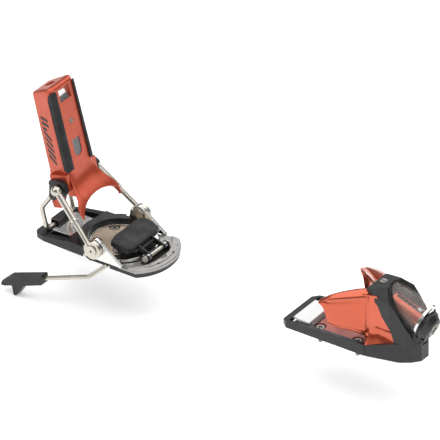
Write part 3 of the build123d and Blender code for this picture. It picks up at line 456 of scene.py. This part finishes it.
def sheet_of(name, rows, thick, slot_name, body, inward=-1.0, edge=0.5):
    """A panel from a grid of points in millimetres, given thickness and rounded edges."""
    across = len(rows[0])
    verts = [tuple(c * MM for c in p) for row in rows for p in row]
    faces = []
    for i in range(len(rows) - 1):
        for j in range(across - 1):
            a = i * across + j
            faces.append((a, a + 1, a + across + 1, a + across))
    mesh = bpy.data.meshes.new(name)
    mesh.from_pydata(verts, [], faces)
    mesh.shade_smooth()
    obj = bpy.data.objects.new(name, mesh)
    bpy.context.scene.collection.objects.link(obj)
    obj.data.materials.append(FINISHES[slot_name])
    solid = obj.modifiers.new("thickness", "SOLIDIFY")
    solid.thickness = thick * MM
    solid.offset = inward
    solid.use_even_offset = False
    if edge:
        bevel = obj.modifiers.new("edges", "BEVEL")
        bevel.width = edge * MM
        bevel.segments = 3
        bevel.limit_method = "ANGLE"
        bevel.angle_limit = math.radians(50)
        obj.modifiers.new("normals", "WEIGHTED_NORMAL").keep_sharp = True
    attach(obj, body)
    return obj


# points across and up the tower
CUP_LOWER_EDGE = [(0.0, -16.5), (9.5, -17.2), (18.5, -19.8), (25.0, -23.6), (28.6, -28.2), (30.4, -33.4)]
CUP_TOP_HALF, CUP_TOP = 17.6, 14.0    # half width and height of its upper edge
CUP_SIDE_EDGE = [(CUP_TOP_HALF, CUP_TOP), (18.8, 5.0), (21.2, -4.0), (25.6, -13.0), (31.4, -22.0),
                 (32.2, -27.6), (30.4, -33.4)]
CUP_BACK, CUP_REACH = 5.0, 15.1
CUP_TURN, CUP_SOFT = -9.5, 5.2


def cup_front(u):
    """How far forward the cup's outer face stands at height u: one smooth sweep off the tower."""
    return CUP_BACK + CUP_REACH / (1 + math.exp((u - CUP_TURN) / CUP_SOFT))


def heel_cup_shell():
    """The apron that holds the boot's heel: hollowed in the middle, with a curved horn each side."""
    rows = []
    down, across = 44, 72
    tip = CUP_LOWER_EDGE[-1]
    for i in range(down + 1):
        b = i / down
        edge = through(CUP_SIDE_EDGE, b)
        row = []
        for j in range(across + 1):
            a = 2 * j / across - 1
            m = abs(a)
            lower = through(CUP_LOWER_EDGE, m)
            y = CUP_TOP_HALF * m * (1 - b) + lower[0] * b
            y += m ** 3 * (edge[0] - CUP_TOP_HALF * (1 - b) - tip[0] * b)
            u = CUP_TOP * (1 - b) + lower[1] * b
            u += m ** 3 * (edge[1] - CUP_TOP * (1 - b) - tip[1] * b)
            wrap = 0.035 * max(0.0, y - 11.0) ** 1.8 * (1 - b) ** 1.2
            hollow = 1.6 * (1 - m ** 2) ** 2 * math.sin(math.pi * min(1.0, b * 0.85)) ** 2
            crease = 0.25 * math.exp(-((y - 18.0) / 2.2) ** 2) * min(1.0, max(0.0, (b - 0.35) * 3))
            roll = 0.7 * max(0.0, (m - 0.92) / 0.08) ** 2 * min(1.0, b * 2)
            v = cup_front(u) - wrap - hollow - crease - roll
            row.append(tower_place(v, math.copysign(y, a), u))
        rows.append(row)
    obj = sheet_of("cup_shell", rows, 2.8, "orange_paint", "heel_tower", 1.0, 0.9)
    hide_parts("heel_cup")


def flank_y(v, u):
    """Half width of the tower's side face."""
    swell = FLANK_SWELL * (TOWER_HEAD - u) / (TOWER_HEAD - TOWER_FOOT)
    return FLANK_REAR_HALF + swell + (v - FLANK_REAR) / FLANK_DEPTH * FLANK_SPREAD


def flank_inlay(name, outline, proud, slot_name, side_sign):
    """A thin four-cornered inlay on the tower's side, corners given as (forward, up)."""
    a, b, c, d = outline
    rows = []
    for i in range(5):
        f = i / 4
        left = [a[k] + (b[k] - a[k]) * f for k in (0, 1)]
        right = [d[k] + (c[k] - d[k]) * f for k in (0, 1)]
        row = []
        for j in range(4):
            g = j / 3
            v, u = (left[k] + (right[k] - left[k]) * g for k in (0, 1))
            row.append(tower_place(v, side_sign * (flank_y(v, u) + proud), u))
        rows.append(row)
    return sheet_of(name, rows, 0.5, slot_name, "heel_tower", 0.0, 0.12)


def tower_details():
    """Dark mesh behind the vents and three plain dashes above them."""
    for side_name, sign in (("right", -1), ("left", 1)):
        for i in range(VENTS):
            u = VENT_FOOT + VENT_PITCH * i
            outline = [(VENT_REAR, u + 3.7), (VENT_FRONT, u - 4.1), (VENT_FRONT, u - 1.0),
                       (VENT_REAR, u + 6.7)]
            flank_inlay(f"vent_mesh_{side_name}_{i}", outline, 0.06, "black_plastic", sign)
        for i, (u, long) in enumerate(DASHES):
            v, end = -17.5, u - DASH_SLOPE * long
            outline = [(v, u), (v + long, end), (v + long, end - DASH_THICK), (v, u - DASH_THICK)]
            flank_inlay(f"side_dash_{side_name}_{i}", outline, 0.12, "black_plastic", sign)


# upper edge of a toe side cover, along the ski and up
PANEL_EDGE = [(297.7, 62.2), (306.0, 64.0), (307.6, 56.0), (312.6, 44.4), (317.5, 37.6), (323.0, 31.0),
              (326.2, 20.0), (329.5, 13.2)]
PANEL_FOOT = 12.2
PANEL_Y = 20.5                        # its smooth upper part, from the middle of the ski
PANEL_SKIRT_Y = 28.2                  # its skirt at the rear
DISH_DEPTH, DISH_TOP = 2.6, 29.5
SKIRT_TOP = 24.0


def panel_top(x):
    for (x0, z0), (x1, z1) in zip(PANEL_EDGE, PANEL_EDGE[1:]):
        if x <= x1:
            return z0 + (z1 - z0) * (x - x0) / (x1 - x0)
    return PANEL_EDGE[-1][1]


def side_panel(side_name, sign):
    """A painted cover: a smooth upper cheek, a dished recess under it and a flared skirt."""
    rows = []
    along, up = 60, 56
    rear, front = PANEL_EDGE[0][0], PANEL_EDGE[-1][0]
    for i in range(along + 1):
        x = rear + (front - rear) * i / along
        top = panel_top(x)
        outer = PANEL_SKIRT_Y - max(0.0, x - 299.0) * 0.25
        deep = DISH_DEPTH * min(1.0, max(0.0, (x - 301.5) / 5.0))
        row = []
        for j in range(up + 1):
            z = PANEL_FOOT + (top - PANEL_FOOT) * (j / up) ** 1.15
            cheek = PANEL_Y + 0.35 * math.sin(math.pi * min(1.0, max(0.0, (z - 28) / 34)))
            dish = deep / (1 + math.exp(-(DISH_TOP - z) / 0.7))
            flare = max(0.0, (SKIRT_TOP - z) / (SKIRT_TOP - PANEL_FOOT)) ** 1.8 * (outer - PANEL_Y + deep)
            row.append((x, sign * (cheek - dish + flare), z))
        rows.append(row)
    inward = -1.0 if sign > 0 else 1.0
    return sheet_of("cheek_" + side_name, rows, 1.2, "orange_gloss", "ski_base", inward, 0.3)


heel_cup_shell()
tower_details()
wing_pad("right", -1)
wing_pad("left", 1)
cheeks = [side_panel(name, sign) for name, sign in (("right", -1), ("left", 1))]
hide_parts("side_panels")


# ---------------------------------------------------------------- camera, light and floor

def area(name, place, target, size, power):
    data = bpy.data.lights.new(name, "AREA")
    data.shape = "RECTANGLE"
    data.size, data.size_y = size
    data.energy = power
    lamp = bpy.data.objects.new(name, data)
    lamp.location = place
    lamp.rotation_euler = (Vector(target) - Vector(place)).to_track_quat("-Z", "Y").to_euler()
    bpy.context.scene.collection.objects.link(lamp)


FLOOR_GAP, FLOOR_HALF = 0.6 * MM, 6
VIEW_AZIMUTH, VIEW_ELEVATION = math.radians(34.5), math.radians(31.5)
VIEW_ACROSS, VIEW_UP, VIEW_WIDTH = 0.0948, 0.0264, 0.415   # middle and width of the picture, metres
SENSOR_MM, LENS_MM = 36.0, 1200.0
SKY = [(0.3, 0.3, 0.3, 1.0), (0.16, 0.16, 0.17, 1.0), (0.85, 0.85, 0.85, 1.0)]
SKY_AT = [0.3, 0.45, 0.62]


def floor_below():
    """A wide pale floor just under the lowest point of the part."""
    low = cad_box[0][2] - FLOOR_GAP
    corners = [(x * FLOOR_HALF, y * FLOOR_HALF, low) for x, y in ((-1, -1), (1, -1), (1, 1), (-1, 1))]
    mesh = bpy.data.meshes.new("floor")
    mesh.from_pydata(corners, [], [(0, 1, 2, 3)])
    floor = bpy.data.objects.new("floor", mesh)
    bpy.context.scene.collection.objects.link(floor)
    floor.data.materials.append(finish("floor", linear(248, 248, 248), 0.0, 0.9, 0.003, relief=0.0,
                                       Emission_Color=(1, 1, 1, 1), Emission_Strength=0.35))


def sky():
    """A grey surround, darker at the horizon and pale overhead."""
    world = bpy.data.worlds.new("studio")
    world.use_nodes = True
    tree = world.node_tree
    split = tree.nodes.new("ShaderNodeSeparateXYZ")
    tree.links.new(tree.nodes.new("ShaderNodeTexCoord").outputs["Generated"], split.inputs[0])
    ramp = tree.nodes.new("ShaderNodeValToRGB")
    elements = ramp.color_ramp.elements
    elements[0].position, elements[1].position = SKY_AT[0], SKY_AT[2]
    elements.new(SKY_AT[1])
    for element, colour in zip(elements, SKY):
        element.color = colour
    tree.links.new(split.outputs["Z"], ramp.inputs[0])
    tree.links.new(ramp.outputs[0], tree.nodes["Background"].inputs["Color"])
    tree.nodes["Background"].inputs["Strength"].default_value = 0.6
    bpy.context.scene.world = world


def camera_at_view():
    """A long lens from the front right, nearly without perspective."""
    right = Vector((math.cos(VIEW_AZIMUTH), math.sin(VIEW_AZIMUTH), 0.0))
    toward = Vector((math.sin(VIEW_AZIMUTH) * math.cos(VIEW_ELEVATION),
                     -math.cos(VIEW_AZIMUTH) * math.cos(VIEW_ELEVATION), math.sin(VIEW_ELEVATION)))
    up = toward.cross(right).normalized()
    data = bpy.data.cameras.new("camera")
    data.sensor_width, data.lens = SENSOR_MM, LENS_MM
    camera = bpy.data.objects.new("camera", data)
    camera.location = right * VIEW_ACROSS + up * VIEW_UP + toward * (VIEW_WIDTH / SENSOR_MM * LENS_MM)
    camera.rotation_euler = toward.to_track_quat("Z", "Y").to_euler()
    bpy.context.scene.collection.objects.link(camera)
    bpy.context.scene.camera = camera


def studio():
    """A pale floor, soft light from both sides and above, and the camera."""
    floor_below()
    sky()
    middle = (0.13, 0, 0.03)
    area("overhead", (0.1, 0.15, 1.5), middle, (2.6, 2.2), 24)
    area("key", (-0.9, -0.9, 0.9), middle, (0.6, 0.6), 4)
    area("side", (1.2, -0.6, 0.5), middle, (0.25, 0.9), 3)
    area("back", (-0.2, 1.3, 0.9), middle, (1.2, 0.4), 5)
    bpy.context.scene.view_settings.view_transform = "Standard"
    camera_at_view()


studio()
